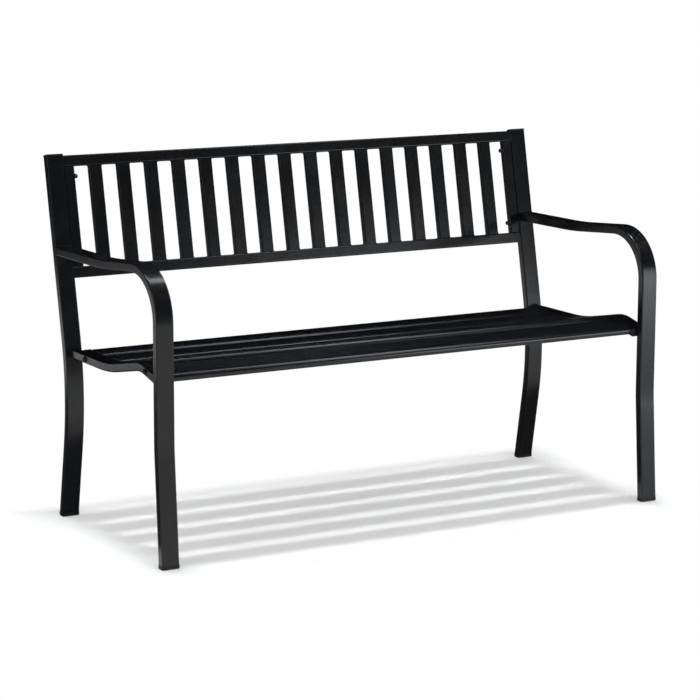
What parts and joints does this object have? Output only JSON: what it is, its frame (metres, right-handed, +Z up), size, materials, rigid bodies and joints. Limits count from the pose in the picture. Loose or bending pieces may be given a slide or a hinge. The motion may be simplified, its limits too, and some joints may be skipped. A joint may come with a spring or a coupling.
{
  "type": "garden bench",
  "caption": "Outdoor bench of black coated steel tube: curved slatted seat, upright-slat back, bent tube arms and legs, plastic caps and foot plugs",
  "frame": {"origin": "on the floor at the middle of the bench's plan", "axes": "+X to the right hand of someone who looks at the bench's front, along its length; +Y from front to back; +Z up"},
  "size_m": [1.2712, 0.599, 0.8165],
  "materials": {
    "black_coated_steel": "satin black powder coat",
    "black_plastic": "moulded black plastic",
    "black_fastener_steel": "black coated fastener steel"
  },
  "bodies": {
    "root": {"left_rear_post": "black_coated_steel", "left_arm_and_front_leg": "black_coated_steel", "left_seat_rail": "black_coated_steel", "left_seat_end_bar": "black_coated_steel", "left_back_end_bar": "black_coated_steel", "left_post_cap": "black_plastic", "left_rear_foot_plug": "black_plastic", "left_front_foot_plug": "black_plastic", "right_rear_post": "black_coated_steel", "right_arm_and_front_leg": "black_coated_steel", "right_seat_rail": "black_coated_steel", "right_seat_end_bar": "black_coated_steel", "right_back_end_bar": "black_coated_steel", "right_post_cap": "black_plastic", "right_rear_foot_plug": "black_plastic", "right_front_foot_plug": "black_plastic", "seat_slat_1": "black_coated_steel", "seat_slat_2": "black_coated_steel", "seat_slat_3": "black_coated_steel", "seat_slat_4": "black_coated_steel", "seat_slat_5": "black_coated_steel", "back_top_rail": "black_coated_steel", "back_bottom_rail": "black_coated_steel", "back_slat_01": "black_coated_steel", "back_slat_02": "black_coated_steel", "back_slat_03": "black_coated_steel", "back_slat_04": "black_coated_steel", "back_slat_05": "black_coated_steel", "back_slat_06": "black_coated_steel", "back_slat_07": "black_coated_steel", "back_slat_08": "black_coated_steel", "back_slat_09": "black_coated_steel", "back_slat_10": "black_coated_steel", "back_slat_11": "black_coated_steel", "back_slat_12": "black_coated_steel", "back_slat_13": "black_coated_steel", "back_slat_14": "black_coated_steel", "back_slat_15": "black_coated_steel", "back_slat_16": "black_coated_steel", "seat_end_plugs": "black_plastic", "back_studs": "black_fastener_steel", "back_washers": "black_fastener_steel", "back_nuts": "black_fastener_steel", "seat_bolts": "black_fastener_steel", "seat_washers": "black_fastener_steel", "seat_nuts": "black_fastener_steel"}
  },
  "joints": []
}
